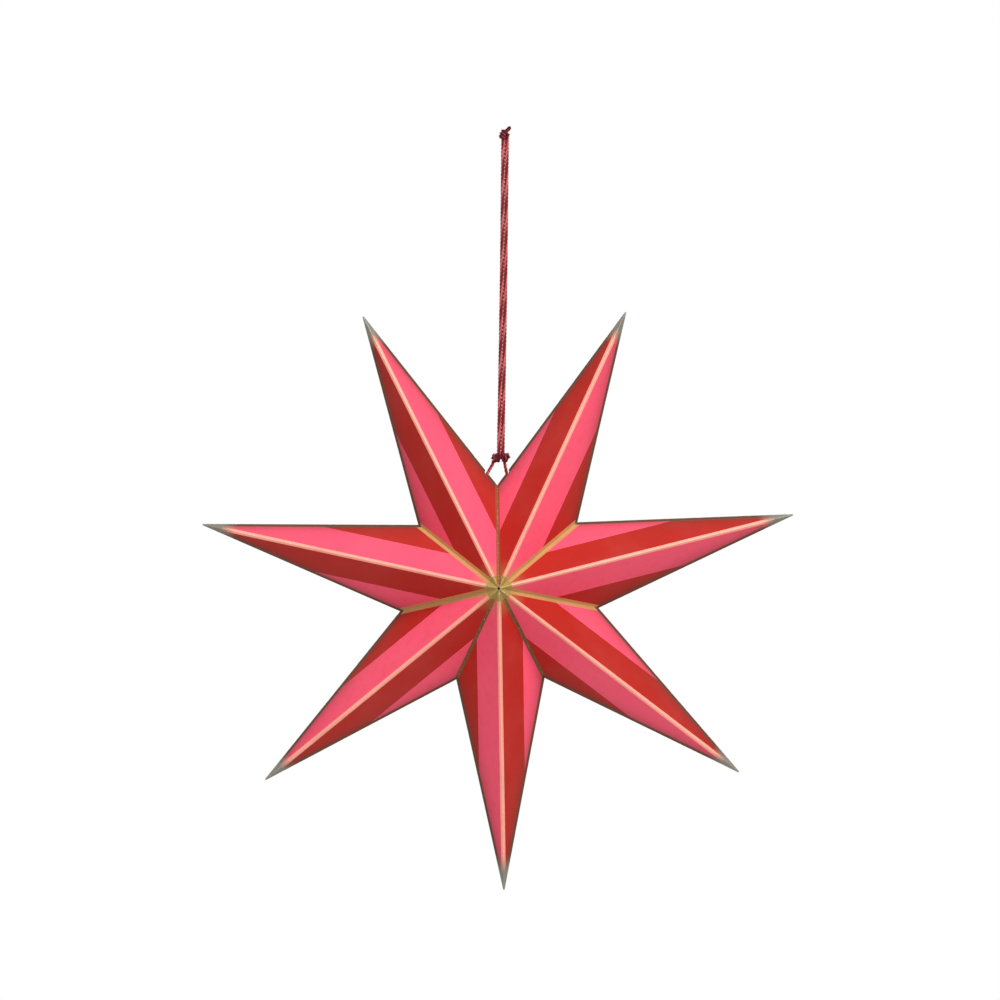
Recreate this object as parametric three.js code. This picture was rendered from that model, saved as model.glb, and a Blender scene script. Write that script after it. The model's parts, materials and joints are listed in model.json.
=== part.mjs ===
// A hollow paper star with seven rays, folded from printed card and hung on a doubled cord.
// Millimetres, +Z up, seen from the front along +Y. The origin is the middle of the knot that the hook holds.
import * as THREE from 'three';

// Star, measured on the inside of the card
const rayCount = 7;
const tipRadius = 227; // centre to the tip of a ray
const notchRadius = 75.5; // centre to the notch between two rays
const halfDepth = 50; // middle plane to the peak of each face
const hangTurn = -1.75; // degrees clockwise from upright, because the tie pulls a little to one side

// Card
const cardThickness = 0.4;
const cardGap = 0.3; // between neighbouring panels, open or folded flat
const rearRidgePlay = 1.3; // off the peak end of a rear ridge, which swings inwards half way through the fold

// Fins, two tabs glued face to face inside each glued notch
const finWidth = 6;
const finFromNotch = 14;
const finFromPeak = 14;
const gluedTabs = 2;

// Tie holes on the two edges beside the top notch
const tieHoleDiameter = 5;
const tieHoleFromNotch = 12;
const tieHoleSteps = 10;

// Cord
const cordDiameter = 2.5;
const cordSides = 8;
const strandSteps = 36;
const bightSteps = 22;
const knotDrop = 242; // middle of the top knot to the middle of the lower knot
const knotAboveNotch = 21.5; // the lower knot's middle over the height of the top notch
const cordGap = 0.3; // between two solids of the cord that meet
const bightBelowKnot = 0.6; // the bight's cut ends under the lower knot
const topKnot = { width: 8, height: 7 };
const lowerKnot = { width: 15.5, thickness: 7.5 };
const knotSides = 16;
const knotRings = 6;

// Both strands run side by side. Each row is a share of the way down, then the drift to the right and to the
// back in shares of the cord's diameter.
const strandShares = [
  [0, 0, 0],
  [0.06, 0, 0.01],
  [0.13, 0.02, 0.02],
  [0.2, 0.05, 0.02],
  [0.27, 0.08, 0],
  [0.34, 0.1, -0.03],
  [0.41, 0.12, -0.04],
  [0.48, 0.11, -0.03],
  [0.55, 0.1, 0],
  [0.62, 0.09, 0.03],
  [0.69, 0.07, 0.04],
  [0.76, 0.05, 0.03],
  [0.83, 0.03, 0.01],
  [0.9, 0.01, 0],
  [0.95, 0, 0],
  [1, 0, 0],
];

// Half of the bight, from its tie hole to the middle. Each row is measured from the bottom of the notch, along
// the ray's edge in shares of the hole's distance and into the ray in shares of the cord's diameter.
const bightShares = [
  [1, 0],
  [0.87, 0.95],
  [0.67, 1.69],
  [0.4, 2.28],
  [0.13, 2.39],
  [-0.13, 2.02],
  [-0.34, 1.18],
];
const knotExitShares = { left: 0.37, right: 0.2 }; // the bight's ends, in shares of the lower knot's width

const colors = { pink: 0xf9527a, red: 0xc92f2a, white: 0xe9e2d8, cord: 0xa8404c, knot: 0x7c2a33 };

// Worked out from the sizes
const raySpacing = (2 * Math.PI) / rayCount;
const quarterTurn = Math.PI / 2;
const cardInside = cardGap / 2;
const cardOutside = cardInside + cardThickness;
const notchCount = rayCount - 1;
const starDrop = knotDrop + knotAboveNotch + notchRadius;

const red = material('red print', colors.red, 0.7);
const pink = material('pink print', colors.pink, 0.7);
const bareCard = material('bare card', colors.white, 0.85);
const cordFibre = material('cord', colors.cord, 0.8);
const knotFibre = material('knot', colors.knot, 0.8);

const root = new THREE.Group();
const star = new THREE.Group();
star.position.z = -starDrop;
star.rotation.y = THREE.MathUtils.degToRad(hangTurn);
root.add(star);
root.updateMatrixWorld(true);

for (let ray = 1; ray <= rayCount; ray++) {
  for (const side of [-1, 1]) {
    for (const face of [-1, 1]) {
      star.add(makePanel(ray, side, face));
    }
  }
}
for (let notch = 1; notch <= notchCount; notch++) {
  for (const face of [-1, 1]) {
    star.add(makeFin(notch, face));
  }
}
root.add(makeTopKnot());
root.add(makeStrand(-1));
root.add(makeStrand(1));
root.add(makeLowerKnot());
star.add(makeBight());

function material(name, color, roughness) {
  return new THREE.MeshStandardMaterial({ name, color, roughness, metalness: 0 });
}

// A point in the star's middle plane, at an angle clockwise from straight up.
function around(angle, radius) {
  return new THREE.Vector3(radius * Math.sin(angle), 0, radius * Math.cos(angle));
}

function rayAngle(ray) {
  return (ray - 0.5) * raySpacing;
}

// The peak in the middle of a face: -1 is the front and 1 the rear.
function peak(face) {
  return new THREE.Vector3(0, face * halfDepth, 0);
}

// One flat panel of a ray, between its tip, the notch beside it and the peak of its face. side is -1 for the
// left panel and 1 for the right one, seen from the front with the ray pointing up.
function makePanel(ray, side, face) {
  const angle = rayAngle(ray);
  const notchAngle = angle + (side * raySpacing) / 2;
  const tip = around(angle, tipRadius);
  const notch = around(notchAngle, notchRadius);
  const edge = tip.clone().sub(notch);
  const toPeak = peak(face).sub(notch);

  const along = edge.clone().normalize();
  const out = edge.clone().cross(toPeak).normalize();
  if (out.y * face < 0) {
    out.negate();
  }
  const inward = out.clone().cross(along);
  if (inward.dot(toPeak) < 0) {
    inward.negate();
  }
  const frame = new THREE.Matrix4().makeBasis(along, inward, along.clone().cross(inward));
  const faceUp = out.dot(along.clone().cross(inward)) > 0;

  // Each edge stays on its own side of the plane that mirrors the panel into its neighbour.
  const corners = [[0, 0], [edge.length(), 0], [toPeak.dot(along), toPeak.dot(inward)]];
  const mirrors = [
    new THREE.Vector3(0, face, 0),
    around(angle + side * quarterTurn, 1),
    around(notchAngle - side * quarterTurn, 1),
  ];
  const insets = corners.map((corner, i) => {
    const [x, y] = edgeNormal(corner, corners[(i + 1) % corners.length]);
    const across = along.clone().multiplyScalar(x).addScaledVector(inward, y);
    const inset = edgeInset(across.dot(mirrors[i]), out.dot(mirrors[i]));
    return [inset, inset];
  });
  if (face > 0) {
    insets[1][1] += rearRidgePlay;
  }
  const outline = insetCorners(corners, insets);

  const isTied = (ray === 1 && side < 0) || (ray === rayCount && side > 0);
  const shape = new THREE.Shape();
  shape.moveTo(...outline[0]);
  if (isTied) {
    const holeRadius = tieHoleDiameter / 2;
    const start = Math.asin(insets[0][0] / holeRadius);
    shape.lineTo(tieHoleFromNotch - holeRadius * Math.cos(start), insets[0][0]);
    shape.absarc(tieHoleFromNotch, 0, holeRadius, Math.PI - start, start, true);
  }
  shape.lineTo(...outline[1]);
  shape.lineTo(...outline[2]);

  const slab = new THREE.ExtrudeGeometry(shape, {
    depth: cardThickness,
    bevelEnabled: false,
    curveSegments: tieHoleSteps,
  });
  slab.translate(0, 0, faceUp ? cardInside : -cardOutside);
  const panel = new THREE.Mesh(slab, side < 0 ? pink : red);
  panel.name = `ray_${ray}_${face < 0 ? 'front' : 'rear'}_${side < 0 ? 'left' : 'right'}`;
  panel.applyMatrix4(frame.setPosition(notch));
  return panel;
}

// The unit normal of an edge, pointing into an outline that runs anticlockwise.
function edgeNormal([x1, y1], [x2, y2]) {
  const length = Math.hypot(x2 - x1, y2 - y1);
  return [(y1 - y2) / length, (x2 - x1) / length];
}

// How far an edge draws back so that the card keeps half the gap to the mirror plane. The shares say how much
// a step across the panel, or out of it, leads away from that plane.
function edgeInset(acrossShare, outShare) {
  const needed = [cardInside, cardOutside].map((height) => (cardGap / 2 - height * outShare) / acrossShare);
  return Math.max(cardGap / 2, ...needed);
}

// Draws every edge of an outline inwards, by one amount at its start and another at its end.
function insetCorners(corners, insets) {
  const lines = corners.map((corner, i) => {
    const next = corners[(i + 1) % corners.length];
    const [nx, ny] = edgeNormal(corner, next);
    const [atStart, atEnd] = insets[i];
    const start = [corner[0] + nx * atStart, corner[1] + ny * atStart];
    const end = [next[0] + nx * atEnd, next[1] + ny * atEnd];
    const [x, y] = edgeNormal(start, end);
    return { x, y, offset: start[0] * x + start[1] * y };
  });
  return lines.map((line, i) => {
    const before = lines[(i + lines.length - 1) % lines.length];
    const cross = before.x * line.y - before.y * line.x;
    return [
      (before.offset * line.y - line.offset * before.y) / cross,
      (before.x * line.offset - line.x * before.offset) / cross,
    ];
  });
}

// The glued fin inside a notch, which stands in the plane between its two rays.
function makeFin(notchNumber, face) {
  const notch = around(notchNumber * raySpacing, notchRadius);
  const toPeak = peak(face).sub(notch);
  const along = toPeak.clone().normalize();
  const inward = notch.clone().negate();
  inward.addScaledVector(along, -inward.dot(along)).normalize();
  const across = along.clone().cross(inward);

  const start = finFromNotch;
  const end = toPeak.length() - finFromPeak;
  const shape = new THREE.Shape();
  shape.moveTo(start, 0);
  shape.lineTo(end, 0);
  shape.lineTo(end - finWidth, finWidth);
  shape.lineTo(start + finWidth, finWidth);

  const thickness = gluedTabs * cardThickness;
  const slab = new THREE.ExtrudeGeometry(shape, { depth: thickness, bevelEnabled: false });
  slab.translate(0, 0, -thickness / 2);
  const fin = new THREE.Mesh(slab, bareCard);
  fin.name = `${face < 0 ? 'front' : 'rear'}_fin_${notchNumber}`;
  fin.applyMatrix4(new THREE.Matrix4().makeBasis(along, inward, across).setPosition(notch));
  return fin;
}

// A rounded knot about its own axis, with a straight stretch in the middle where it is longer than thick.
function knotSolid(length, thickness) {
  const straight = Math.max(0, length - thickness) / 2;
  const cap = Math.min(length, thickness) / 2;
  const lower = [];
  for (let i = 0; i <= knotRings; i++) {
    const a = (i / knotRings) * quarterTurn;
    lower.push(new THREE.Vector2((thickness / 2) * Math.sin(a), -straight - cap * Math.cos(a)));
  }
  const upper = lower.map((point) => new THREE.Vector2(point.x, -point.y)).reverse();
  if (straight === 0) {
    upper.shift();
  }
  return new THREE.LatheGeometry([...lower, ...upper], knotSides);
}

function makeTopKnot() {
  const knot = new THREE.Mesh(knotSolid(topKnot.height, topKnot.width), knotFibre);
  knot.name = 'top_knot';
  knot.rotation.x = quarterTurn;
  return knot;
}

function makeLowerKnot() {
  const knot = new THREE.Mesh(knotSolid(lowerKnot.width, lowerKnot.thickness), knotFibre);
  knot.name = 'lower_knot';
  knot.rotation.z = quarterTurn;
  knot.position.z = -knotDrop;
  return knot;
}

function cordTube(points, steps) {
  const section = new THREE.Shape();
  for (let i = 0; i < cordSides; i++) {
    const a = (i / cordSides) * 2 * Math.PI;
    const x = (cordDiameter / 2) * Math.cos(a);
    const y = (cordDiameter / 2) * Math.sin(a);
    if (i === 0) {
      section.moveTo(x, y);
    } else {
      section.lineTo(x, y);
    }
  }
  const extrudePath = new THREE.CatmullRomCurve3(points);
  return new THREE.ExtrudeGeometry(section, { steps, extrudePath, bevelEnabled: false });
}

// side is -1 for the left strand and 1 for the right one.
function makeStrand(side) {
  const top = -topKnot.height / 2 - cordGap;
  const bottom = -knotDrop + lowerKnot.thickness / 2 + cordGap;
  const middle = (side * (cordDiameter + cordGap)) / 2;
  const points = strandShares.map(([down, right, back]) => new THREE.Vector3(
    middle + right * cordDiameter,
    back * cordDiameter,
    top + down * (bottom - top),
  ));
  const strand = new THREE.Mesh(cordTube(points, strandSteps), cordFibre);
  strand.name = side < 0 ? 'cord_strand_left' : 'cord_strand_right';
  return strand;
}

// The bend of cord that enters the star through one tie hole, passes under the notch and leaves by the other.
function makeBight() {
  const notch = around(0, notchRadius);
  const half = (side) => {
    const along = around(side * rayAngle(1), tipRadius).sub(notch).normalize();
    const inward = new THREE.Vector3(side * along.z, 0, -side * along.x);
    return bightShares.map(([alongShare, inwardShare]) => notch.clone()
      .addScaledVector(along, alongShare * tieHoleFromNotch)
      .addScaledVector(inward, inwardShare * cordDiameter));
  };
  const exit = (share) => {
    const below = lowerKnot.thickness / 2 + bightBelowKnot;
    return star.worldToLocal(new THREE.Vector3(share * lowerKnot.width, 0, -knotDrop - below));
  };
  const midway = (a, b) => a.clone().add(b).divideScalar(2);
  const leftExit = exit(-knotExitShares.left);
  const rightExit = exit(knotExitShares.right);
  const right = half(1);
  const left = half(-1).reverse();
  const points = [
    rightExit,
    midway(rightExit, right[0]),
    ...right,
    ...left.slice(1),
    midway(left.at(-1), leftExit),
    leftExit,
  ];
  const bight = new THREE.Mesh(cordTube(points, bightSteps), cordFibre);
  bight.name = 'cord_bight';
  return bight;
}

export default root;
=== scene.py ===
# A hollow seven-rayed paper star on a doubled cord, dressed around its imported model.
import json
import math

import bmesh
import bpy
from mathutils import Matrix, Vector

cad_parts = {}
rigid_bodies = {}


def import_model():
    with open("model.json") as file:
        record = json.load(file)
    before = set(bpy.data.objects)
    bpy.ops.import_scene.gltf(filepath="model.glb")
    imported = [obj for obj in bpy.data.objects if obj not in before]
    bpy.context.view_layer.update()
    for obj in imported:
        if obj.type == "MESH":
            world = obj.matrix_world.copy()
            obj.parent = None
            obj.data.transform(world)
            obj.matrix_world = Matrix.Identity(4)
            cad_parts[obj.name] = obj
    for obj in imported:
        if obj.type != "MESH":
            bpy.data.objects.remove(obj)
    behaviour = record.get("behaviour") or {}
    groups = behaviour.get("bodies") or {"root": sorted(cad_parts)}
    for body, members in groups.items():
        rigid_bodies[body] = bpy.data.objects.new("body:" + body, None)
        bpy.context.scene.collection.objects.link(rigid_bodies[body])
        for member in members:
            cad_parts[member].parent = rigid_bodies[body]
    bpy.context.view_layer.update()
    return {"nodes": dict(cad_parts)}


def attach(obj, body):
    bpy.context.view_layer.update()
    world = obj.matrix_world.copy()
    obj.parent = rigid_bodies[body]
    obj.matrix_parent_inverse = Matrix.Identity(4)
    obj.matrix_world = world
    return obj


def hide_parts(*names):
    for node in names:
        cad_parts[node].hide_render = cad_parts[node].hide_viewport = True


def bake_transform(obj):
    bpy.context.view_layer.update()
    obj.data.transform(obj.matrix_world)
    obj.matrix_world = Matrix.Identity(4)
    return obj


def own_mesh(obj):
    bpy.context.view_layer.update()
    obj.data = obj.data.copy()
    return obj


for leftover in list(bpy.data.objects):
    bpy.data.objects.remove(leftover)

mm = 0.001
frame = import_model()
print("frame loaded:", len(frame["nodes"]), "nodes")


# Nodes, for materials and for shapes

seedStep = (3.1, 1.7, 0.9)  # how far apart two seeds look into the same noise
specular = 0.2  # card and string reflect little


class Wire:
    # One output of a node. Arithmetic on a number's wire adds Math nodes.
    def __init__(self, graph, socket):
        self.graph = graph
        self.socket = socket

    def math(self, operation, *values):
        return self.graph.add("ShaderNodeMath", {"operation": operation}, dict(enumerate(values)))

    def __add__(self, other):
        return self.math("ADD", self, other)

    def __radd__(self, other):
        return self.math("ADD", other, self)

    def __sub__(self, other):
        return self.math("SUBTRACT", self, other)

    def __rsub__(self, other):
        return self.math("SUBTRACT", other, self)

    def __mul__(self, other):
        return self.math("MULTIPLY", self, other)

    def __rmul__(self, other):
        return self.math("MULTIPLY", other, self)

    def __truediv__(self, other):
        return self.math("DIVIDE", self, other)

    def __pow__(self, other):
        return self.math("POWER", self, other)

    def __neg__(self):
        return self.math("MULTIPLY", self, -1)

    def least(self, other):
        return self.math("MINIMUM", self, other)

    def most(self, other):
        return self.math("MAXIMUM", self, other)

    def above(self, limit):
        return self.math("GREATER_THAN", self, limit)

    def sine(self):
        return self.math("SINE", self)

    def cosine(self):
        return self.math("COSINE", self)

    def exponent(self):
        return self.math("EXPONENT", self)

    def clamped(self):
        return self.graph.add("ShaderNodeClamp", {}, {0: self, 1: 0.0, 2: 1.0})

    def sibling(self, name):
        # Another output of the same node
        return Wire(self.graph, self.socket.node.outputs[name])


class Graph:
    # A node tree under construction.
    def __init__(self, tree):
        self.tree = tree

    def add(self, kind, settings=None, inputs=None, output=0):
        node = self.tree.nodes.new(kind)
        for name, value in (settings or {}).items():
            setattr(node, name, value)
        for key, value in (inputs or {}).items():
            self.put(node.inputs[key], value)
        return Wire(self, node.outputs[output]) if len(node.outputs) else None

    def put(self, socket, value):
        if isinstance(value, Wire):
            self.tree.links.new(value.socket, socket)
        elif isinstance(value, (list, tuple)) and socket.type == "GEOMETRY":
            for wire in value:
                self.tree.links.new(wire.socket, socket)
        else:
            socket.default_value = value

    def split(self, vector):
        node = self.add("ShaderNodeSeparateXYZ", {}, {0: vector}).socket.node
        return [Wire(self, output) for output in node.outputs]

    def vector(self, x, y, z):
        return self.add("ShaderNodeCombineXYZ", {}, {0: x, 1: y, 2: z})

    def vectors(self, operation, a, b):
        return self.add("ShaderNodeVectorMath", {"operation": operation}, {0: a, 1: b})

    def scaled(self, vector, factor):
        return self.add("ShaderNodeVectorMath", {"operation": "SCALE"}, {0: vector, "Scale": factor})

    def mixed(self, factor, a, b):
        settings = {"data_type": "RGBA", "blend_type": "MIX", "clamp_factor": True}
        return self.add("ShaderNodeMix", settings, {0: factor, 6: a, 7: b}, 2)

    def place(self):
        # Where the shader works, on the piece itself
        return self.add("ShaderNodeTexCoord", {}, {}, "Object")

    def noise(self, place, scale, detail, roughness, seed):
        moved = self.vectors("ADD", place, tuple(seed * step for step in seedStep))
        inputs = {"Vector": moved, "Scale": scale, "Detail": detail, "Roughness": roughness}
        return self.add("ShaderNodeTexNoise", {}, inputs)

    def random(self, least, most, seed):
        inputs = {2: least, 3: most, "Seed": seed}
        return self.add("FunctionNodeRandomValue", {"data_type": "FLOAT"}, inputs, 1)

    def attribute(self, name, output="Fac"):
        return self.add("ShaderNodeAttribute", {"attribute_name": name}, {}, output)

    def stored(self, geometry, name, value, kind="FLOAT"):
        # The geometry, with a value kept on its points for a material
        inputs = {"Geometry": geometry, "Name": name, "Value": value}
        settings = {"data_type": kind, "domain": "POINT"}
        return self.add("GeometryNodeStoreNamedAttribute", settings, inputs)


def srgb(red, green, blue):
    # A colour as it looks on screen, from 0 to 255, as the linear colour that a shader takes.
    def linear(value):
        share = value / 255
        return share / 12.92 if share <= 0.04045 else ((share + 0.055) / 1.055) ** 2.4

    return (linear(red), linear(green), linear(blue), 1.0)


def newMaterial(name):
    material = bpy.data.materials.new(name)
    material.use_nodes = True
    material.node_tree.nodes.clear()
    return material, Graph(material.node_tree)


def finishMaterial(graph, color, roughness, metallic, height, depth):
    bump = graph.add("ShaderNodeBump", {}, {"Distance": depth, "Height": height})
    inputs = {
        "Base Color": color,
        "Roughness": roughness,
        "Metallic": metallic,
        "Specular IOR Level": specular,
        "Normal": bump,
    }
    surface = graph.add("ShaderNodeBsdfPrincipled", {}, inputs)
    graph.add("ShaderNodeOutputMaterial", {}, {"Surface": surface})


def newShapeTree(name, inputs):
    # A Geometry Nodes tree with named inputs. Returns its graph and the wires of the inputs.
    tree = bpy.data.node_groups.new(name, "GeometryNodeTree")
    tree.is_modifier = True
    tree.interface.new_socket("Geometry", in_out="INPUT", socket_type="NodeSocketGeometry")
    for label, kind in inputs.items():
        tree.interface.new_socket(label, in_out="INPUT", socket_type=kind)
    tree.interface.new_socket("Geometry", in_out="OUTPUT", socket_type="NodeSocketGeometry")
    graph = Graph(tree)
    group = tree.nodes.new("NodeGroupInput")
    wires = {output.name: Wire(graph, output) for output in group.outputs if output.name}
    return graph, wires


def endShapeTree(graph, geometry, material):
    real = graph.add("GeometryNodeRealizeInstances", {}, {"Geometry": geometry})
    painted = graph.add("GeometryNodeSetMaterial", {}, {"Geometry": real, "Material": material})
    graph.put(graph.tree.nodes.new("NodeGroupOutput").inputs[0], painted)
    return graph.tree


def shaped(name, carrier, tree, values):
    # Runs a tree on a carrier mesh and keeps the result as a plain mesh object at the origin.
    maker = bpy.data.objects.new(name + "Maker", carrier)
    bpy.context.scene.collection.objects.link(maker)
    modifier = maker.modifiers.new("shape", "NODES")
    modifier.node_group = tree
    for item in tree.interface.items_tree:
        if item.in_out == "INPUT" and item.name in values:
            modifier[item.identifier] = values[item.name]
    evaluated = maker.evaluated_get(bpy.context.evaluated_depsgraph_get())
    mesh = bpy.data.meshes.new_from_object(evaluated)
    bpy.data.objects.remove(maker)
    mesh.name = name
    piece = bpy.data.objects.new(name, mesh)
    bpy.context.scene.collection.objects.link(piece)
    return piece


# Sizes that the solids have too

star = {
    "rays": 7,
    "tipRadius": 227 * mm,
    "notchRadius": 75.5 * mm,
    "halfDepth": 50 * mm,
    "turn": -1.75,  # degrees clockwise from upright
}

cordSizes = {
    "diameter": 2.5 * mm,
    "gap": 0.3 * mm,
    "knotDrop": 242 * mm,  # from the top knot's middle to the lower knot's
    "knotAboveNotch": 21.5 * mm,
    "topKnotHeight": 7 * mm,
    "lowerKnotWidth": 15.5 * mm,
    "lowerKnotThickness": 7.5 * mm,
    "bightBelowKnot": 0.6 * mm,
    "tieHoleFromNotch": 12 * mm,
}

starDrop = cordSizes["knotDrop"] + cordSizes["knotAboveNotch"] + star["notchRadius"]
starCentre = Vector((0, 0, -starDrop))
starPlace = Matrix.Translation(starCentre) @ Matrix.Rotation(math.radians(star["turn"]), 4, "Y")
raySpacing = 2 * math.pi / star["rays"]


def around(angle, radius):
    # A point in the star's middle plane, at an angle clockwise from straight up.
    return Vector((radius * math.sin(angle), 0, radius * math.cos(angle)))


# Camera, which sees the photograph's frame. The picture is turned a little, as the cord in it leans.

photo = {
    "side": 1000,  # pixels
    "pixel": 0.75 * mm,  # at the star
    "starCentre": (498.9, 587.0),  # pixels, from the top left corner
    "roll": 0.8,  # degrees
    "distance": 3.0,  # metres
    "sensor": 36.0,
}


def makeCamera():
    data = bpy.data.cameras.new("camera")
    data.sensor_width = photo["sensor"]
    data.lens = photo["sensor"] * photo["distance"] / (photo["side"] * photo["pixel"])
    camera = bpy.data.objects.new("camera", data)
    bpy.context.scene.collection.objects.link(camera)
    roll = math.radians(photo["roll"])
    right = Vector((math.cos(roll), 0, math.sin(roll)))
    up = Vector((-math.sin(roll), 0, math.cos(roll)))
    x, y = photo["starCentre"]
    half = photo["side"] / 2
    aim = starCentre - right * (x - half) * photo["pixel"] - up * (half - y) * photo["pixel"]
    back = Vector((0, -1, 0))
    turned = Matrix((right, up, back)).transposed().to_4x4()
    camera.matrix_world = Matrix.Translation(aim + back * photo["distance"]) @ turned
    bpy.context.scene.camera = camera


makeCamera()
print("camera placed")


# The string that the cord and both knots are made of

string = {
    "plies": 3,
    "lay": 8.5 * mm,  # one turn of the plies
    "yarns": 5,  # ridges on each ply
    "yarnDepth": 0.09,  # share of the ply's radius
    "yarnLay": 5.0 * mm,
    "plySides": 20,
    "step": 0.4 * mm,
    "swell": 1.2,  # soft string lies fuller than its measured diameter
    "pulled": 0.98,  # and thinner where it is pulled tight
}

# Its surface. A height is measured on a ply, from 0 in a groove to 1 on a crown. The colour turns from a
# painted shade in the grooves to fibre as the height rises, and then to worn.
stringSurface = {
    "cord": {"fibre": srgb(196, 76, 78), "shade": srgb(124, 38, 42), "worn": srgb(220, 142, 138)},
    # The knots are the cord's own string, painted darker as the shade between their tight turns
    "knot": {"fibre": srgb(140, 44, 54), "shade": srgb(70, 16, 24), "worn": srgb(176, 82, 88)},
    "patches": (90, 3, 0.6, 2),  # a noise: its scale, detail, roughness and seed
    "threads": (1900, 2, 0.7, 5),
    "light": {"rise": 1.5, "drop": 0.35, "threads": 0.5},
    "wear": {"from": 0.72, "rise": 3, "patches": 1.6, "threads": 0.8, "depth": 0.6},
    "roughness": 0.78,
    "roughnessSpread": 0.3,
    "relief": 0.07 * mm,
}

# Its loose fibres. Each is a short curve that leaves its root and bends outwards.
fuzz = {
    "density": 0.7e6,  # on each square metre
    "bend": (0.35 * mm, 0, 0.5 * mm),
    "end": (0.9 * mm, 0, 0.7 * mm),
    "steps": 3,
    "radius": 0.03 * mm,
    "sides": 3,
    "sizes": (0.4, 1.3),
    "height": 0.8,  # as for the surface, where a crown is 1
    "seeds": {"roots": 5, "sizes": 11, "turns": 12},
}


def smoothPath(points, step):
    # A Catmull-Rom curve through the points, sampled about every step.
    points = [Vector(point) for point in points]
    ends = [points[0] * 2 - points[1], points[-1] * 2 - points[-2]]
    padded = [ends[0], *points, ends[1]]
    path = []
    for i in range(1, len(padded) - 2):
        a, b, c, d = padded[i - 1 : i + 3]
        slope, bow, twist = c - a, 2 * a - 5 * b + 4 * c - d, 3 * b - a - 3 * c + d
        count = max(2, round((c - b).length / step))
        for k in range(count):
            t = k / count
            path.append(0.5 * (2 * b + slope * t + bow * t**2 + twist * t**3))
    path.append(points[-1])
    return path


def pathLength(path):
    return sum((b - a).length for a, b in zip(path, path[1:]))


def pathMesh(name, paths):
    mesh = bpy.data.meshes.new(name)
    points = [point for path in paths for point in path]
    edges = []
    start = 0
    for path in paths:
        edges += [(start + i, start + i + 1) for i in range(len(path) - 1)]
        start += len(path)
    mesh.from_pydata(points, edges, [])
    return mesh


def makeStringMaterial(name, colors):
    # Dyed string, with painted shade in the grooves between plies, and paler crowns where it rubs.
    material, graph = newMaterial(name)
    place = graph.place()
    height = graph.attribute("crown")
    patch = graph.noise(place, *stringSurface["patches"])
    thread = graph.noise(place, *stringSurface["threads"])
    light, wear = stringSurface["light"], stringSurface["wear"]
    lit = height * light["rise"] - light["drop"] + (thread - 0.5) * light["threads"]
    color = graph.mixed(lit, colors["shade"], colors["fibre"])
    rub = (height - wear["from"]) * wear["rise"] + (patch - 0.5) * wear["patches"]
    rub = (rub + (thread - 0.5) * wear["threads"]).clamped() * wear["depth"]
    color = graph.mixed(rub, color, colors["worn"])
    roughness = stringSurface["roughness"] + (thread - 0.5) * stringSurface["roughnessSpread"]
    finishMaterial(graph, color, roughness.clamped(), 0.0, thread, stringSurface["relief"])
    return material


def plySection(graph, radius):
    # A circle with a ridge for each yarn.
    circle = {"Resolution": string["plySides"], "Radius": radius}
    section = graph.add("GeometryNodeCurvePrimitiveCircle", {}, circle)
    place = graph.add("GeometryNodeInputPosition")
    x, y, z = graph.split(place)
    angle = y.math("ARCTAN2", y, x)
    ridge = 1 + string["yarnDepth"] * (angle * string["yarns"]).cosine()
    ridged = {"Geometry": section, "Position": graph.scaled(place, ridge)}
    return graph.add("GeometryNodeSetPosition", {}, ridged)


def windPlies(graph, line, diameter, lay):
    # Every ply is a tube that winds round the line. Its points keep which way is out from the line.
    normal = graph.add("GeometryNodeInputNormal")
    tangent = graph.add("GeometryNodeInputTangent")
    binormal = graph.vectors("CROSS_PRODUCT", tangent, normal)
    length = graph.add("GeometryNodeSplineParameter", {}, {}, "Length")
    plyShare = 1 / (1 + 2 / math.sqrt(3))  # of the cord's radius, for three plies that touch
    section = plySection(graph, diameter * (plyShare / 2))
    offset = diameter * ((1 - plyShare) / 2)
    twist = length * (-2 * math.pi / string["yarnLay"])
    plies = []
    for ply in range(string["plies"]):
        turn = length / lay * (2 * math.pi) + ply * 2 * math.pi / string["plies"]
        side = graph.vectors("ADD", graph.scaled(normal, turn.cosine()), graph.scaled(binormal, turn.sine()))
        moved = {"Geometry": line, "Offset": graph.scaled(side, offset)}
        wound = graph.add("GeometryNodeSetPosition", {}, moved)
        wound = graph.add("GeometryNodeSetCurveTilt", {}, {"Curve": wound, "Tilt": twist})
        wound = graph.stored(wound, "ply", side, "FLOAT_VECTOR")
        tube = {"Curve": wound, "Profile Curve": section, "Fill Caps": True}
        plies.append(graph.add("GeometryNodeCurveToMesh", {}, tube))
    return graph.add("GeometryNodeJoinGeometry", {}, {"Geometry": plies[::-1]})


def growFuzz(graph, cord, density):
    curve = {"Resolution": fuzz["steps"], "Start": (0, 0, 0), "Middle": fuzz["bend"], "End": fuzz["end"]}
    hair = graph.add("GeometryNodeCurveQuadraticBezier", {}, curve)
    circle = {"Resolution": fuzz["sides"], "Radius": fuzz["radius"]}
    thin = graph.add("GeometryNodeCurvePrimitiveCircle", {}, circle)
    tube = {"Curve": hair, "Profile Curve": thin, "Fill Caps": True}
    hair = graph.stored(graph.add("GeometryNodeCurveToMesh", {}, tube), "crown", fuzz["height"])
    seeds = fuzz["seeds"]
    spots = {"Mesh": cord, "Density": density, "Seed": seeds["roots"]}
    roots = graph.add("GeometryNodeDistributePointsOnFaces", {}, spots)
    size = graph.random(*fuzz["sizes"], seeds["sizes"])
    spin = graph.random(0.0, 2 * math.pi, seeds["turns"])
    grown = {"Points": roots, "Instance": hair, "Rotation": roots.sibling("Rotation"), "Scale": size}
    hairs = graph.add("GeometryNodeInstanceOnPoints", {}, grown)
    turned = {"Instances": hairs, "Rotation": graph.vector(0.0, 0.0, spin), "Local Space": True}
    return graph.add("GeometryNodeRotateInstances", {}, turned)


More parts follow.
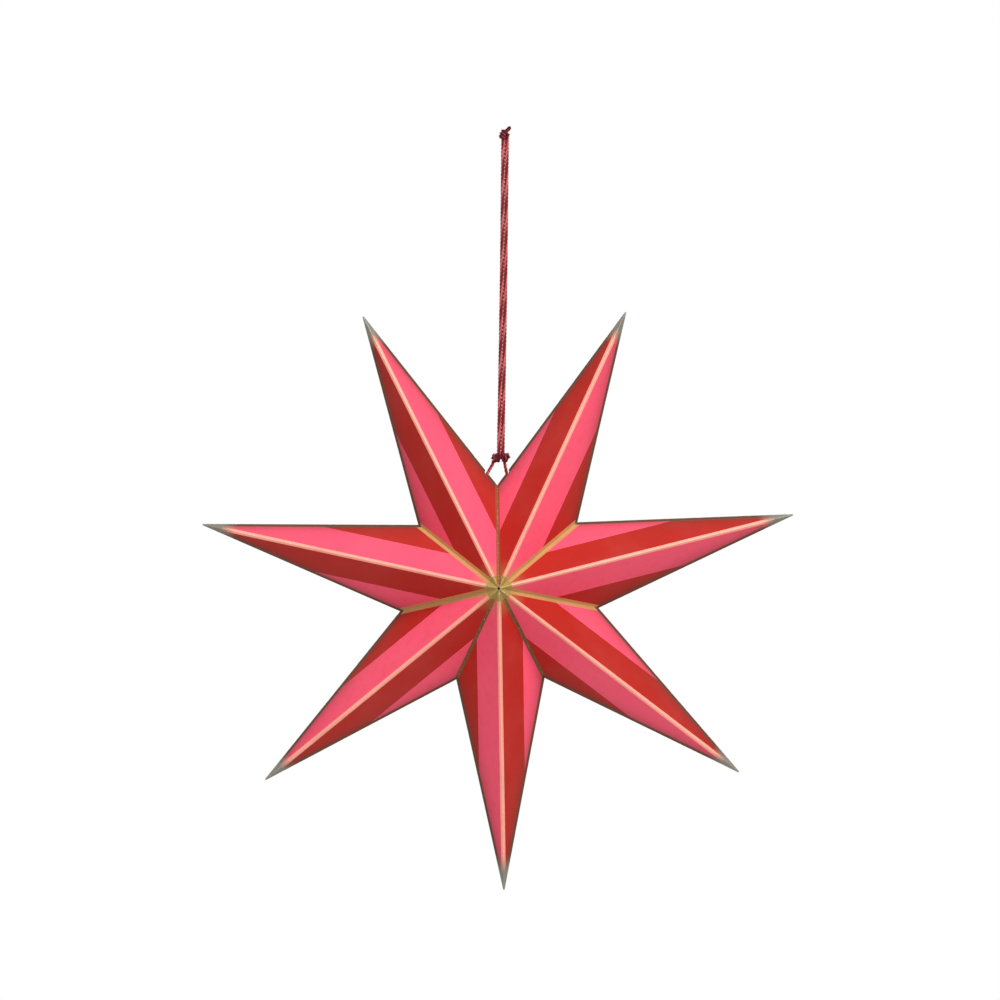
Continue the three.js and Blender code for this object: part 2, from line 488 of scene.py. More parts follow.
def makeStringTree(material):
    # Turns each path of the carrier into laid string with its loose fibres.
    sizes = {label: "NodeSocketFloat" for label in ("Diameter", "Lay", "Step", "Fuzz")}
    graph, inputs = newShapeTree("layString" + material.name, sizes)
    line = graph.add("GeometryNodeMeshToCurve", {}, {0: inputs["Geometry"]})
    spaced = {"Curve": line, "Length": inputs["Step"]}
    line = graph.add("GeometryNodeResampleCurve", {"mode": "LENGTH"}, spaced)
    cord = windPlies(graph, line, inputs["Diameter"], inputs["Lay"])

    # The height of each point on its ply, from 0 to 1, for the material
    outward = graph.add("GeometryNodeInputNamedAttribute", {"data_type": "FLOAT_VECTOR"}, {"Name": "ply"})
    facing = graph.vectors("DOT_PRODUCT", graph.add("GeometryNodeInputNormal"), outward).sibling("Value")
    cord = graph.stored(cord, "crown", facing * 0.5 + 0.5)
    cord = graph.add("GeometryNodeRemoveAttribute", {}, {"Geometry": cord, "Name": "ply"})

    hairs = growFuzz(graph, cord, inputs["Fuzz"])
    cord = graph.add("GeometryNodeJoinGeometry", {}, {"Geometry": [hairs, cord]})
    cord = graph.add("GeometryNodeSetShadeSmooth", {}, {"Geometry": cord})
    return endShapeTree(graph, cord, material)


def layString(name, paths, tree, fullness):
    values = {
        "Diameter": cordSizes["diameter"] * fullness,
        "Lay": string["lay"],
        "Step": string["step"],
        "Fuzz": fuzz["density"],
    }
    return shaped(name, pathMesh(name, paths), tree, values)


cordTree = makeStringTree(makeStringMaterial("cordString", stringSurface["cord"]))
knotTree = makeStringTree(makeStringMaterial("knotStringPaintedShade", stringSurface["knot"]))


# The top knot. One strand wraps the other and is tucked through its own turns, and both cut ends point up to
# the right. The routes are given in mm from the knot's middle.

topKnot = {
    "turns": 2.2,
    "firstTurn": 0.3,
    "across": 2.75 * mm,
    "deep": 2.3 * mm,
    "waist": 0.86,  # of the first and last turns, as a share of the middle one's
    "climb": 2.2 * mm,  # for each turn
    "shift": -0.7 * mm,
    "tilt": 24,  # degrees
    "points": 30,
    "wrapIn": [(0.6, 0.2, -1.4)],
    "wrapOut": [(0.8, 0.4, 2.6), (3.2, 0.5, 5.2)],
    "core": [(-1.2, 0, -2.4), (-0.6, 0, 0), (0.4, -0.4, 2.2), (1.7, -1.2, 4.3), (3.9, -1.5, 5.8)],
}


def inMillimetres(points):
    return [Vector([value * mm for value in point]) for point in points]


def makeTopKnot():
    knot = topKnot
    tilt = Matrix.Rotation(math.radians(knot["tilt"]), 3, "Y")
    wrap = inMillimetres(knot["wrapIn"])
    for i in range(knot["points"]):
        share = i / (knot["points"] - 1)
        turn = (share * knot["turns"] + knot["firstTurn"]) * 2 * math.pi
        height = (share - 0.5) * knot["climb"] * knot["turns"]
        swell = knot["waist"] + (1 - knot["waist"]) * math.sin(math.pi * share)
        across, deep = knot["across"] * swell, knot["deep"] * swell
        spot = Vector((across * math.cos(turn), deep * math.sin(turn), height))
        wrap.append(tilt @ spot + Vector((knot["shift"], 0, 0)))
    wrap += inMillimetres(knot["wrapOut"])
    paths = [smoothPath(path, string["step"]) for path in (wrap, inMillimetres(knot["core"]))]
    piece = layString("topKnotTied", paths, knotTree, string["pulled"])
    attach(piece, "hook_end")
    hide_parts("top_knot")
    return piece


# The lower knot. Each strand is wound outwards round the others, which makes two lumps side by side.

lowerKnot = {
    "core": 3 * mm,  # half of the strands inside the turns
    "first": 0.75 * mm,  # the first turn, from the middle
    "pitch": 2.2 * mm,
    "turns": 2.25,  # from the top towards the front
    "high": 2.5 * mm,
    "deep": 2.45 * mm,
    "waist": 0.86,  # the thin ends of a lump, as a share of its middle
    "waistFrom": 0.1,
    "start": [(0.3, 0, 0), (0.525, 1.3, 0.39)],  # mm, where a strand comes from inside the knot
    "endOut": 0.325 * mm,  # where it goes back in
    "endIn": 0.45,
    "endBack": 1.56 * mm,
    "tilt": -4,  # degrees
    "points": 30,
}


def coil(knot, side):
    # Points of a strand wound about the X axis outwards from the middle. It starts and ends tucked inside.
    points = inMillimetres(knot["start"])
    for i in range(knot["points"]):
        share = i / (knot["points"] - 1)
        turn = share * knot["turns"] * 2 * math.pi
        along = min(1, share * (1 - knot["waistFrom"]) + knot["waistFrom"])
        swell = knot["waist"] + (1 - knot["waist"]) * math.sin(math.pi * along)
        x = knot["first"] + share * knot["turns"] * knot["pitch"]
        deep, high = knot["deep"] * swell, knot["high"] * swell
        points.append(Vector((x, -deep * math.sin(turn), high * math.cos(turn))))
    last = points[-1]
    points.append(Vector((last.x + knot["endOut"], last.y * knot["endIn"], last.z * knot["endIn"])))
    points.append(Vector((last.x - knot["endBack"], 0, 0)))
    return [Vector((side * point.x, side * point.y, point.z)) for point in points]


def makeLowerKnot():
    knot = lowerKnot
    tilt = Matrix.Rotation(math.radians(knot["tilt"]), 4, "Y")
    place = Matrix.Translation((0, 0, -cordSizes["knotDrop"])) @ tilt
    core = [Vector((share * knot["core"], 0, 0)) for share in (-1, -0.5, 0, 0.5, 1)]
    paths = [coil(knot, 1), coil(knot, -1), core]
    paths = [smoothPath([place @ point for point in path], string["step"]) for path in paths]
    piece = layString("lowerKnotTied", paths, knotTree, string["pulled"])
    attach(piece, "tie")
    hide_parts("lower_knot")
    return piece


# The two strands between the knots. Each row of the route is a share of the way down, then the drift to the
# right and to the back in shares of the cord's diameter.

strandRoute = [
    (0, 0, 0),
    (0.06, 0, 0.01),
    (0.13, 0.02, 0.02),
    (0.2, 0.05, 0.02),
    (0.27, 0.08, 0),
    (0.34, 0.1, -0.03),
    (0.41, 0.12, -0.04),
    (0.48, 0.11, -0.03),
    (0.55, 0.1, 0),
    (0.62, 0.09, 0.03),
    (0.69, 0.07, 0.04),
    (0.76, 0.05, 0.03),
    (0.83, 0.03, 0.01),
    (0.9, 0.01, 0),
    (0.95, 0, 0),
    (1, 0, 0),
]
strandEnds = {
    "upper": 3.0 * mm,  # how far a strand runs on into a knot
    "lower": 2.2 * mm,
    "inward": 0.8,  # how far from the middle it ends there, as a share of its usual place
}


def makeStrand(side):
    diameter, gap = cordSizes["diameter"], cordSizes["gap"]
    top = -cordSizes["topKnotHeight"] / 2 - gap
    bottom = -cordSizes["knotDrop"] + cordSizes["lowerKnotThickness"] / 2 + gap
    middle = side * (diameter + gap) / 2
    route = [
        (middle + right * diameter, back * diameter, top + down * (bottom - top))
        for down, right, back in strandRoute
    ]
    inner = middle * strandEnds["inward"]
    upper, lower = top + strandEnds["upper"], bottom - strandEnds["lower"]
    path = smoothPath([(inner, 0, upper), *route, (inner, 0, lower)], string["step"])
    word = "Left" if side < 0 else "Right"
    piece = layString("cordStrand" + word, [path], cordTree, string["swell"])
    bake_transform(piece)
    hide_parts("cord_strand_" + word.lower())
    pathLength(path)
    print("strand", word, round(pathLength(path), 4))


# The bight, which goes through both tie holes and under the top notch. The route is half of it, from a tie
# hole to the middle. Each row is along the ray's edge in shares of the hole's distance from the notch, then
# into the ray in shares of the cord's diameter.

bightRoute = [
    (1, 0),
    (0.87, 0.95),
    (0.67, 1.69),
    (0.4, 2.28),
    (0.13, 2.39),
    (-0.13, 2.02),
    (-0.34, 1.18),
]
knotExits = {"left": 0.37, "right": 0.2}  # the bight's ends, in shares of the lower knot's width

# The star folds only when it is untied. The bight is then drawn out of the card, and hangs from the knot's
# left, while a short leg stays between the knot's right and ray 1's tie hole, and holds the star.
untied = {
    "legStop": 2.7 * mm,  # how far short of the tie hole the leg ends
    "overlap": 0.8 * mm,  # of the leg and the rest
    "lean": -10,  # degrees from level, of the direction in which the rest closes up
    "keep": 0.14,
}


def halfBight(side):
    notch = around(0, star["notchRadius"])
    along = (around(side * raySpacing / 2, star["tipRadius"]) - notch).normalized()
    inward = Vector((side * along.z, 0, -side * along.x))
    hole, diameter = cordSizes["tieHoleFromNotch"], cordSizes["diameter"]
    return [
        notch + along * edgeShare * hole + inward * inShare * diameter
        for edgeShare, inShare in bightRoute
    ]


def knotExit(share):
    below = cordSizes["lowerKnotThickness"] / 2 + cordSizes["bightBelowKnot"]
    place = Vector((share * cordSizes["lowerKnotWidth"], 0, -cordSizes["knotDrop"] - below))
    return starPlace.inverted() @ place


def layBight(name, points):
    # Lays one stretch of the bight. Returns the piece and its path.
    path = smoothPath([starPlace @ point for point in points], string["step"])
    piece = layString(name, [path], cordTree, string["pulled"])
    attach(piece, "ray_1_front_left")
    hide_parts("cord_bight")
    print(name, round(pathLength(path), 4))
    return piece, path


def makeBight():
    right, left = halfBight(1), halfBight(-1)[::-1]
    rightExit, leftExit = knotExit(knotExits["right"]), knotExit(-knotExits["left"])
    tucked = Vector((0, 0, strandEnds["lower"]))
    back = (rightExit - right[0]).normalized()
    stop = right[0] + back * untied["legStop"]
    start = right[0] + back * (untied["legStop"] + untied["overlap"])
    leg = layBight("cordTieLeg", [rightExit + tucked, rightExit, (rightExit + right[0]) / 2, stop])[0]
    points = [leftExit + tucked, leftExit, (left[-1] + leftExit) / 2, *left[::-1], *right[-2::-1], start]
    rest, path = layBight("cordBight", points)
    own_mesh(rest)
    pathLength(path)


topKnotPiece = makeTopKnot()
lowerKnotPiece = makeLowerKnot()
makeStrand(-1)
makeStrand(1)
makeBight()
print("cord laid")


# The flat cut of the card

card = {
    "thickness": 0.4 * mm,
    "gap": 0.3 * mm,  # between neighbouring panels
    "steps": 40,  # along each edge of a panel
    "bendSteps": 6,  # round each crease
    "bendTaper": 0.04,  # a bend tucks in by this share, so that two that meet never lie in one surface
    "weld": 0.001 * mm,
    "waveHeight": 0.1 * mm,
    "waveSize": 42 * mm,
    "waveFade": 14 * mm,  # from a crease, where the card lies true
    "waveStep": 7.3,  # from one panel's waves to the next one's
    "tieHole": 4.2 * mm,
    "punchSides": 28,
    "punchLength": 4 * mm,
    "sharpFrom": 30,  # degrees
}
cardInside = card["gap"] / 2
cardMiddle = cardInside + card["thickness"] / 2
cardPitch = card["gap"] + card["thickness"]

ridgeLength = math.hypot(star["tipRadius"], star["halfDepth"])


def panelFrame(ray, side, face):
    # Returns the panel's place, as a matrix of across from the ridge, along it from the peak and out of the
    # star, then how far across and along the notch lies, and which way is out.
    angle = (ray - 0.5) * raySpacing
    tip = around(angle, star["tipRadius"])
    notch = around(angle + side * raySpacing / 2, star["notchRadius"])
    peak = Vector((0, face * star["halfDepth"], 0))
    along = (tip - peak).normalized()
    across = notch - peak
    across = (across - along * across.dot(along)).normalized()
    out = along.cross(across).normalized()
    if out.y * face < 0:
        out.negate()
    local = Matrix((across, along, out)).transposed().to_4x4()
    local.translation = peak
    return starPlace @ local, (notch - peak).dot(across), (notch - peak).dot(along), starPlace.to_3x3() @ out


notchAcross, notchAlong, outOne = panelFrame(1, 1, -1)[1:]
outNext = panelFrame(2, -1, -1)[3]
valleyShift = cardPitch * math.tan(outOne.angle(outNext) / 2)  # the valley's crease, from the inner edge

# The three creases of a panel, each as a unit normal into the panel, its offset, and the height of its axis
edgeAlong = Vector((notchAcross, notchAlong - ridgeLength)).normalized()
valleyAlong = Vector((notchAcross, notchAlong)).normalized()
creases = {
    "ridge": {"normal": Vector((1, 0)), "offset": 0.0, "height": 0.0},
    "edge": {
        "normal": Vector((edgeAlong.y, -edgeAlong.x)),
        "offset": ridgeLength * -edgeAlong.x,
        "height": 0.0,
    },
    "valley": {
        "normal": Vector((-valleyAlong.y, valleyAlong.x)),
        "offset": valleyShift,
        "height": cardPitch,
    },
}


def meeting(first, second):
    a, b = first["normal"], second["normal"]
    cross = a.x * b.y - a.y * b.x
    x = (first["offset"] * b.y - second["offset"] * a.y) / cross
    y = (a.x * second["offset"] - b.x * first["offset"]) / cross
    return Vector((x, y))


def flatCut():
    # The flat cut of one panel: a triangle with a narrow flap along every crease.
    ridge, edge, valley = creases["ridge"], creases["edge"], creases["valley"]
    peak, tip, notch = meeting(ridge, valley), meeting(ridge, edge), meeting(edge, valley)
    steps = card["steps"]
    sheet = bmesh.new()
    grid = {}
    for i in range(steps + 1):
        for j in range(steps + 1 - i):
            spot = peak + (tip - peak) * i / steps + (notch - peak) * j / steps
            grid[i, j] = sheet.verts.new((spot.x, spot.y, cardInside))
    for i in range(steps):
        for j in range(steps - i):
            sheet.faces.new((grid[i, j], grid[i, j + 1], grid[i + 1, j]))
            if i + j < steps - 1:
                sheet.faces.new((grid[i + 1, j], grid[i, j + 1], grid[i + 1, j + 1]))
    rims = {
        "ridge": [grid[i, 0] for i in range(steps + 1)],
        "edge": [grid[steps - i, i] for i in range(steps + 1)],
        "valley": [grid[0, steps - i] for i in range(steps + 1)],
    }
    flap = cardMiddle * math.pi / 2
    for name, rim in rims.items():
        outward = -creases[name]["normal"]
        last = rim
        for row in range(1, card["bendSteps"] + 1):
            reach = flap * row / card["bendSteps"]
            new = [sheet.verts.new(vert.co + Vector((outward.x, outward.y, 0)) * reach) for vert in rim]
            for k in range(steps):
                sheet.faces.new((last[k], last[k + 1], new[k + 1], new[k]))
            last = new
    sheet.normal_update()
    if sheet.faces[:][0].normal.z < 0:
        bmesh.ops.reverse_faces(sheet, faces=sheet.faces[:])
    mesh = bpy.data.meshes.new("flatCut")
    sheet.to_mesh(mesh)
    sheet.free()
    return mesh


# The folding of a panel from its flat cut


def thicken(graph, flat, thickness):
    settings = {"Mesh": flat, "Offset Scale": thickness, "Individual": False}
    raised = graph.add("GeometryNodeExtrudeMesh", {"mode": "FACES"}, settings)
    under = graph.add("GeometryNodeFlipFaces", {}, {0: flat})
    slab = graph.add("GeometryNodeJoinGeometry", {}, {"Geometry": [raised, under]})
    return graph.add("GeometryNodeMergeByDistance", {}, {"Geometry": slab, "Distance": card["weld"]})


def punched(graph, slab, hole, wanted):
    # The tie hole, a punch centred on the outer edge
    notch = meeting(creases["edge"], creases["valley"])
    centre = notch - edgeAlong * cordSizes["tieHoleFromNotch"]
    punch = {"Vertices": card["punchSides"], "Radius": hole / 2, "Depth": card["punchLength"]}
    punch = graph.add("GeometryNodeMeshCylinder", {}, punch)
    moved = {"Geometry": punch, "Translation": (centre.x, centre.y, 0)}
    punch = graph.add("GeometryNodeTransform", {}, moved)
    settings = {"operation": "DIFFERENCE", "solver": "EXACT"}
    holed = graph.add("GeometryNodeMeshBoolean", settings, {"Mesh 1": slab, "Mesh 2": punch})
    choice = {"Switch": wanted, "False": slab, "True": holed}
    return graph.add("GeometryNodeSwitch", {"input_type": "GEOMETRY"}, choice)


def wave(graph, x, y, inside, inputs):
    # The card's slight waves, which die out towards the creases
    nearest = inside["ridge"].least(inside["edge"]).least(inside["valley"])
    fade = (nearest / card["waveFade"]).clamped()
    size = inputs["Wave size"]
    spot = graph.vector(x / size, y / size, inputs["Seed"] * card["waveStep"])
    height = graph.add("ShaderNodeTexNoise", {}, {"Vector": spot, "Scale": 1.0, "Detail": 1.0}) - 0.5
    return graph.vector(0.0, 0.0, height * 2 * inputs["Wave height"] * fade)


def bend(graph, z, inside, line):
    # The move that rolls what lies beyond a crease about the crease's axis
    beyond = (-inside).most(0.0)
    turn = beyond / cardMiddle
    sign = 1 if line["height"] == 0 else -1
    radius = (z - line["height"]) * sign * (1 - turn * (card["bendTaper"] / (math.pi / 2)))
    pull = (beyond - radius * turn.sine()) * beyond.above(0.0)
    drop = (radius * turn.cosine() - (z - line["height"]) * sign) * sign
    return graph.vector(pull * line["normal"].x, pull * line["normal"].y, drop)


def makeCardTree(material, name):
    # Gives the flat cut its thickness, punches the tie hole, adds the slight waves and bends the flaps.
    sizes = {
        "Thickness": "NodeSocketFloat",
        "Wave height": "NodeSocketFloat",
        "Wave size": "NodeSocketFloat",
        "Seed": "NodeSocketFloat",
        "Punched": "NodeSocketBool",
        "Hole": "NodeSocketFloat",
        "Valley line": "NodeSocketFloat",
        "Valley painted shade": "NodeSocketFloat",
    }
    graph, inputs = newShapeTree("foldCard" + name, sizes)
    slab = thicken(graph, inputs["Geometry"], inputs["Thickness"])
    slab = punched(graph, slab, inputs["Hole"], inputs["Punched"])

    place = graph.add("GeometryNodeInputPosition")
    slab = graph.stored(slab, "onCard", place, "FLOAT_VECTOR")
    slab = graph.stored(slab, "valleyLine", inputs["Valley line"])
    slab = graph.stored(slab, "valleyPaintedShade", inputs["Valley painted shade"])

    x, y, z = graph.split(place)
    inside = {}
    for crease, line in creases.items():
        inside[crease] = x * line["normal"].x + y * line["normal"].y - line["offset"]
    move = wave(graph, x, y, inside, inputs)
    for crease, line in creases.items():
        move = graph.vectors("ADD", move, bend(graph, z, inside[crease], line))
    slab = graph.add("GeometryNodeSetPosition", {}, {"Geometry": slab, "Offset": move})
    slab = graph.add("GeometryNodeTriangulate", {}, {0: slab})
    return endShapeTree(graph, slab, material)


# The print on the card, which follows each panel's own flat coordinates

bareCard = {"light": srgb(226, 216, 200), "dark": srgb(204, 192, 174), "from": 0.45, "rise": 2}

inks = {
    "pink": srgb(255, 88, 116),
    "red": srgb(184, 33, 21),
    "paintedEdgeShadeAndMottle": srgb(96, 48, 40),  # painted shade towards the outer edges, and the colour of the mottles
    "paintedShadeReach": 5.5 * mm,
    "paintedShadeDepth": 0.8,
    "stripe": 24.2 * mm,  # the stripe beside the ridge
    "soft": 0.16 * mm,  # the blur of a printed edge
    "ragged": 0.35 * mm,
}

foil = {
    "gold": srgb(206, 156, 98),  # in the valleys
    "shadedValleyGold": srgb(100, 62, 40),
    "ridgePaintedHighlight": srgb(255, 170, 150),  # the ridges' gold line, painted pale as a highlight
    "olive": srgb(172, 144, 80),  # round the peak
    "tarnish": srgb(102, 66, 48),  # on the outer edges
    "tipGrey": srgb(138, 134, 123),
    "ridgeLine": 1.8 * mm,  # half the gold line on each crease, across the card
    "edgeLine": 2.5 * mm,
    "valleyLines": [0, 2.7, 2.6, 1.6, 1.5, 2.7, 2.6],  # mm, clockwise from the seam, which has none
    # how much darker each valley line is painted, as shade, most on the bottom valleys 3 and 4
    "valleyPaintedShade": [0.0, 0.0, 0.0, 0.8, 0.8, 0.1, 0.0],
    "tip": 26 * mm,
    "tipFade": 12 * mm,
    "tipFlecks": 0.5,
    "hub": 10 * mm,
    "halo": 24 * mm,  # how far an olive tint spreads round the peak
    "haloFade": 14 * mm,
    "haloDepth": 0.4,
    "dullClouds": 1.6,  # how strongly the foil is tarnished in patches
    "dullFlecks": 1.1,
    "dullDepth": 0.5,
    "shine": 0.3,
    "ridgeShine": 0.55,
}

# The seam at the top notch, with a line of painted shade along its open edges
seam = {"shade": srgb(150, 84, 50), "line": 1.8 * mm, "depth": 0.85, "unlined": 0.2 * mm}

# Fine cracks in the print along the creases
cracks = {"reach": 0.24 * mm, "fade": 0.12 * mm, "from": 0.57, "rise": 9, "depth": 0.7}

# Noises on the print, each with its scale in waves for each metre, detail, roughness and seed
grain = {
    "edges": (320, 2, 0.5, 1),
    "fibres": (2600, 3, 0.65, 3),
    "clouds": (26, 3, 0.55, 4),
    "flecks": (900, 2, 0.6, 7),
    "mottles": (190, 3, 0.6, 9),
    "bows": (24, 1, 0.4, 10),
}

# What mottles the ink: a noise, where it starts and how fast it rises, how deep it stains and its colour
stains = [
    ("clouds", 0.45, 0.3, 0.4, srgb(255, 170, 170)),
    ("mottles", 0.5, 1.1, 0.35, inks["paintedEdgeShadeAndMottle"]),
    ("fibres", 0.55, 0.9, 0.3, srgb(255, 200, 190)),
]

printSurface = {
    "roughness": 0.62,
    "roughnessSpread": 0.16,
    "foilSmooth": 0.08,
    "relief": 0.016 * mm,
    "rises": {"fibres": 0.5, "foil": 0.8, "flecks": 0.25, "bows": 14},  # in shares of the relief
    "printFrom": 0.93,  # the printed face, in shares of the card's thickness
    "printFade": 0.04,
}


def readCard(graph):
    # Where a point lies on its panel, and the noises there.
    across, along, height = graph.split(graph.attribute("onCard", "Vector"))
    spot = {"across": across, "height": height, "fromTip": ridgeLength - along}
    for crease in ("edge", "valley"):
        line = creases[crease]
        spot[crease] = across * line["normal"].x + along * line["normal"].y - line["offset"]
    spot["fromPeak"] = (across * across + along * along) ** 0.5
    place = graph.place()
    for name, settings in grain.items():
        spot[name] = graph.noise(place, *settings)
    return spot


def within(spot, distance, limit):
    # The share of a printed area at a point, with a slightly ragged edge.
    ragged = (spot["edges"] - 0.5) * inks["ragged"]
    return ((limit - distance + ragged) / inks["soft"] + 0.5).clamped()


def inkWithPaintedShade(graph, spot, innerInk, outerInk):
    ink = graph.mixed(within(spot, spot["across"], inks["stripe"]), outerInk, innerInk)
    for name, start, rise, depth, color in stains:
        ink = graph.mixed((spot[name] - start) * rise, ink, graph.mixed(depth, ink, color))
    # Painted shade: the ink darkens towards the outer edges, most at the edge and fading inwards
    shade = (spot["edge"].most(0.0) / -inks["paintedShadeReach"]).exponent()
    return graph.mixed(shade * inks["paintedShadeDepth"], ink, inks["paintedEdgeShadeAndMottle"])


def foilShares(graph, spot):
    tip = (foil["tip"] - spot["fromTip"]) / foil["tipFade"] + (spot["flecks"] - 0.5) * foil["tipFlecks"]
    return {
        "ridge": within(spot, spot["across"], foil["ridgeLine"]),
        "edge": within(spot, spot["edge"], foil["edgeLine"]),
        "tip": tip.clamped(),
        "hub": within(spot, spot["fromPeak"], foil["hub"]),
        "valley": within(spot, spot["valley"], graph.attribute("valleyLine")),
    }


def foilColor(graph, spot, shares):
    # Valley lines that face down are painted darker, as shade
    valley = graph.mixed(graph.attribute("valleyPaintedShade"), foil["gold"], foil["shadedValleyGold"])
    # The ridge lines take the painted highlight colour
    color = graph.mixed(shares["ridge"], valley, foil["ridgePaintedHighlight"])
    color = graph.mixed(shares["edge"], color, foil["tarnish"])
    color = graph.mixed(shares["hub"], color, foil["olive"])
    color = graph.mixed(shares["tip"], color, foil["tipGrey"])
    dull = (0.5 - spot["clouds"]) * foil["dullClouds"] + (spot["flecks"] - 0.5) * foil["dullFlecks"]
    return graph.mixed(dull.clamped() * foil["dullDepth"], color, foil["tarnish"])


def seamPaintedShade(graph, spot):
    unlined = 1 - (graph.attribute("valleyLine") / seam["unlined"]).clamped()
    return within(spot, spot["valley"], seam["line"]) * unlined * seam["depth"]


def crackShare(spot):
    nearest = spot["across"].least(spot["edge"]).least(spot["valley"])
    reach = ((cracks["reach"] - nearest) / cracks["fade"]).clamped()
    return reach * ((spot["flecks"] - cracks["from"]) * cracks["rise"]).clamped() * cracks["depth"]


def makePrintMaterial(name, innerInk, outerInk):
    material, graph = newMaterial(name)
    spot = readCard(graph)
    shares = foilShares(graph, spot)
    gold = shares["ridge"]
    for part in ("edge", "tip", "hub", "valley"):
        gold = gold.most(shares[part])
    color = graph.mixed(gold, inkWithPaintedShade(graph, spot, innerInk, outerInk), foilColor(graph, spot, shares))
    halo = ((foil["halo"] - spot["fromPeak"]) / foil["haloFade"]).clamped() * foil["haloDepth"]
    color = graph.mixed(halo, color, foil["olive"])
    # A painted shade line along the open seam
    color = graph.mixed(seamPaintedShade(graph, spot), color, seam["shade"])
    crack = crackShare(spot)
    color = graph.mixed(crack, color, bareCard["light"])

    # Inside and on its cut edges the card is bare
    surface, thickness = printSurface, card["thickness"]
    face = cardInside + thickness * surface["printFrom"]
    printed = ((spot["height"] - face) / (thickness * surface["printFade"])).clamped()
    fleece = (spot["fibres"] - bareCard["from"]) * bareCard["rise"]
    bare = graph.mixed(fleece, bareCard["dark"], bareCard["light"])
    color = graph.mixed(printed, bare, color)

    whole = printed * (1 - crack)
    foilShare = gold * whole
    roughness = surface["roughness"] - foilShare * surface["foilSmooth"]
    roughness = roughness + (spot["fibres"] - 0.5) * surface["roughnessSpread"]
    relief = foilShare * surface["rises"]["foil"]
    for noise in ("fibres", "flecks", "bows"):
        relief = relief + spot[noise] * surface["rises"][noise]
    shine = whole * (shares["ridge"] * foil["ridgeShine"]).most(gold * foil["shine"])
    finishMaterial(graph, color, roughness, shine, relief, surface["relief"])
    return material


# The panels, named as seen from the front with their ray pointing up. A side is -1 for left and 1 for right,
# and a face -1 for front and 1 for rear.

printMaterials = {
    -1: makePrintMaterial("printPinkThenRed", inks["red"], inks["pink"]),
    1: makePrintMaterial("printRedThenPink", inks["pink"], inks["red"]),
}
cardTrees = {-1: makeCardTree(printMaterials[-1], "Left"), 1: makeCardTree(printMaterials[1], "Right")}
cut = flatCut()


def makePanel(ray, side, face):
    name = f"ray_{ray}_{'front' if face < 0 else 'rear'}_{'left' if side < 0 else 'right'}"
    tied = (ray == 1 and side < 0) or (ray == star["rays"] and side > 0)
    valley = (ray - (side < 0)) % star["rays"]  # clockwise from the seam
    values = {
        "Thickness": card["thickness"],
        "Wave height": card["waveHeight"],
        "Wave size": card["waveSize"],
        "Seed": float(ray * 4 + side + face * 2),
        "Punched": tied,
        "Hole": card["tieHole"],
        "Valley line": foil["valleyLines"][valley] * mm,
        "Valley painted shade": foil["valleyPaintedShade"][valley],
    }
    piece = shaped("card_" + name, cut.copy(), cardTrees[side], values)
    place = panelFrame(ray, side, face)[0]
    piece.data.transform(place)
    if place.determinant() < 0:
        piece.data.flip_normals()
    piece.data.shade_smooth()
    piece.data.set_sharp_from_angle(angle=math.radians(card["sharpFrom"]))
    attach(piece, name)
    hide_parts(name)


for ray in range(1, star["rays"] + 1):
    for side in (-1, 1):
        for face in (-1, 1):
            makePanel(ray, side, face)
print("panels folded")


# The glued fins inside, which are the solids with a material of their own

fin = {
    "fibres": (1800, 3, 0.65, 3),  # noises, as in the print
    "glue": (60, 3, 0.6, 8),
    "from": 0.4,
    "rise": 1.6,
    "glueStain": srgb(186, 160, 124),
    "glueFrom": 0.52,
    "glueRise": 3,
    "glueDepth": 0.4,
    "roughness": 0.8,
    "roughnessSpread": 0.2,
    "relief": 0.02 * mm,
}


def makeFinMaterial():
    # Bare card on both sides, darker in places where the glue has soaked in.
    material, graph = newMaterial("gluedCard")
    place = graph.place()
    fibres = graph.noise(place, *fin["fibres"])
    glue = graph.noise(place, *fin["glue"])
    color = graph.mixed((fibres - fin["from"]) * fin["rise"], bareCard["dark"], bareCard["light"])
    soaked = ((glue - fin["glueFrom"]) * fin["glueRise"]).clamped() * fin["glueDepth"]
    color = graph.mixed(soaked, color, fin["glueStain"])
    roughness = fin["roughness"] + (fibres - 0.5) * fin["roughnessSpread"]
    finishMaterial(graph, color, roughness, 0.0, fibres, fin["relief"])
    return material


finMaterial = makeFinMaterial()
for nodeName, node in frame["nodes"].items():
    if "_fin_" in nodeName:
        node.data.materials.clear()
        node.data.materials.append(finMaterial)
print("fins painted")


# Floor, backdrop and light

studio = {
    "floorDrop": 1.4,  # below the origin
    "floorRadius": 2.4,
    "floorSides": 96,
    "floorLight": (0.94, 0.94, 0.94, 1),
    "floorDark": (0.9, 0.9, 0.9, 1),
    "floorGrain": (14, 3, 0.5, 1),
    "floorRoughness": 0.9,
    "fadeFrom": 0.7,  # the floor runs out into white
    "fadeTo": 2.0,
    "fadePower": 0.6,
    "white": (1, 1, 1, 1),
    "world": 0.37,
    "key": {"place": (0.7, -2.05, 1.72), "size": 1.0, "power": 76},
    "back": {"place": (-1.1, 2.5, 1.3), "size": 1.2, "power": 52},
}


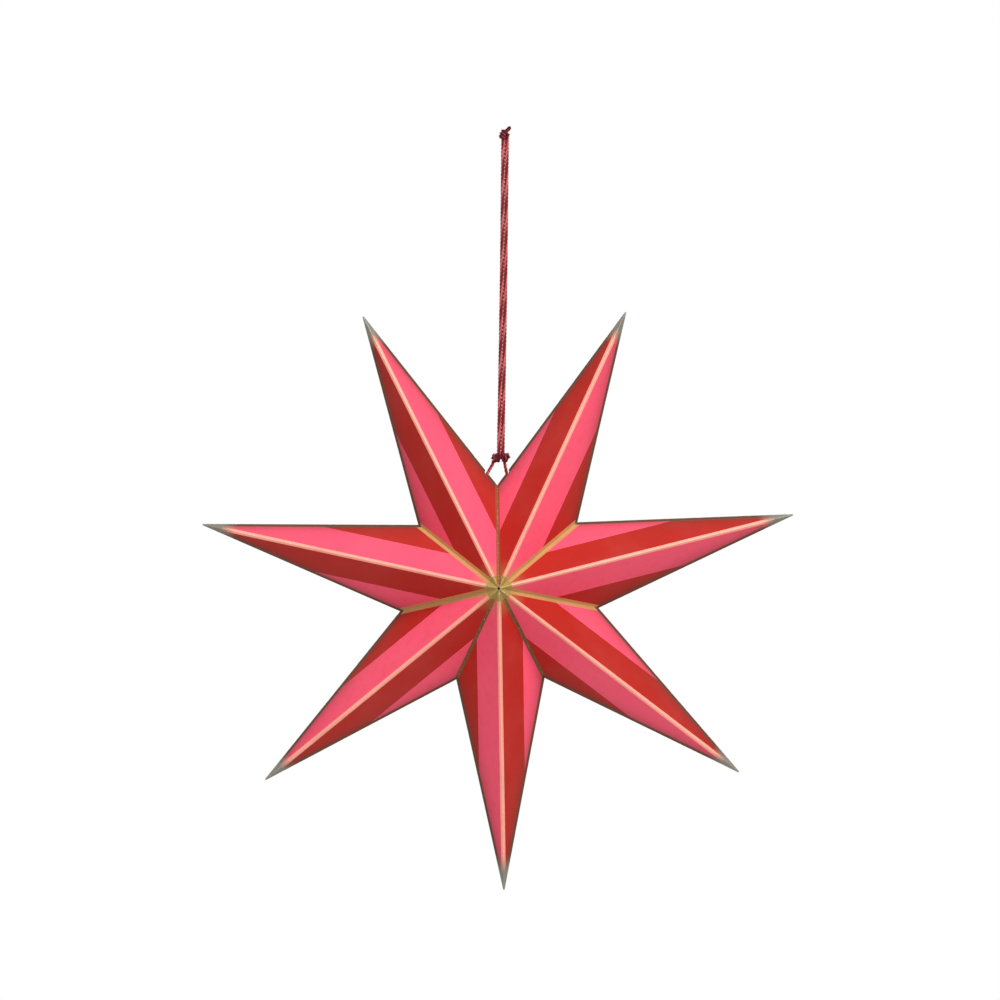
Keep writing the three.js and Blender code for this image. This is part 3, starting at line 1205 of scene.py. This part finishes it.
def makeFloor():
    material, graph = newMaterial("floorPaper")
    place = graph.place()
    color = graph.mixed(graph.noise(place, *studio["floorGrain"]), studio["floorDark"], studio["floorLight"])
    inputs = {"Base Color": color, "Roughness": studio["floorRoughness"]}
    paper = graph.add("ShaderNodeBsdfPrincipled", {}, inputs)
    white = graph.add("ShaderNodeEmission", {}, {"Color": studio["white"], "Strength": 1.0})
    x, y, z = graph.split(place)
    reach = (x * x + y * y) ** 0.5
    fade = ((reach - studio["fadeFrom"]) / (studio["fadeTo"] - studio["fadeFrom"])).clamped()
    seen = graph.add("ShaderNodeLightPath", {}, {}, "Is Camera Ray")
    shown = graph.add("ShaderNodeMixShader", {}, {0: seen * fade ** studio["fadePower"], 1: paper, 2: white})
    graph.add("ShaderNodeOutputMaterial", {}, {"Surface": shown})
    mesh = bpy.data.meshes.new("floor")
    disc = bmesh.new()
    bmesh.ops.create_circle(disc, cap_ends=True, radius=studio["floorRadius"], segments=studio["floorSides"])
    bmesh.ops.translate(disc, verts=disc.verts[:], vec=(0, 0, -studio["floorDrop"]))
    disc.to_mesh(mesh)
    disc.free()
    mesh.materials.append(material)
    floor = bpy.data.objects.new("floor", mesh)
    bpy.context.scene.collection.objects.link(floor)


def makeLamp(name, place, size, power):
    data = bpy.data.lights.new(name, "AREA")
    data.shape = "DISK"
    data.size = size
    data.energy = power
    lamp = bpy.data.objects.new(name, data)
    bpy.context.scene.collection.objects.link(lamp)
    aim = starCentre - Vector(place)
    lamp.visible_camera = False
    lamp.matrix_world = Matrix.Translation(place) @ aim.to_track_quat("-Z", "Y").to_matrix().to_4x4()


def makeWorld():
    # White to the camera and in gloss, and a softer light on everything else.
    world = bpy.data.worlds.new("studio")
    bpy.context.scene.world = world
    world.use_nodes = True
    world.node_tree.nodes.clear()
    graph = Graph(world.node_tree)
    seen = graph.add("ShaderNodeLightPath", {}, {}, "Is Camera Ray")
    clear = seen.most(seen.sibling("Is Glossy Ray")).most(seen.sibling("Is Transmission Ray"))
    light = {"Color": studio["white"], "Strength": studio["world"]}
    plain = graph.add("ShaderNodeBackground", {}, light)
    white = graph.add("ShaderNodeBackground", {}, {"Color": studio["white"], "Strength": 1.0})
    shown = graph.add("ShaderNodeMixShader", {}, {0: clear, 1: plain, 2: white})
    graph.add("ShaderNodeOutputWorld", {}, {"Surface": shown})


makeFloor()
makeWorld()
makeLamp("key", **studio["key"])
makeLamp("back", **studio["back"])
bpy.context.scene.view_settings.view_transform = "Standard"
print("studio lit")


def plain(box):
    return [[float(value) for value in corner] for corner in box]
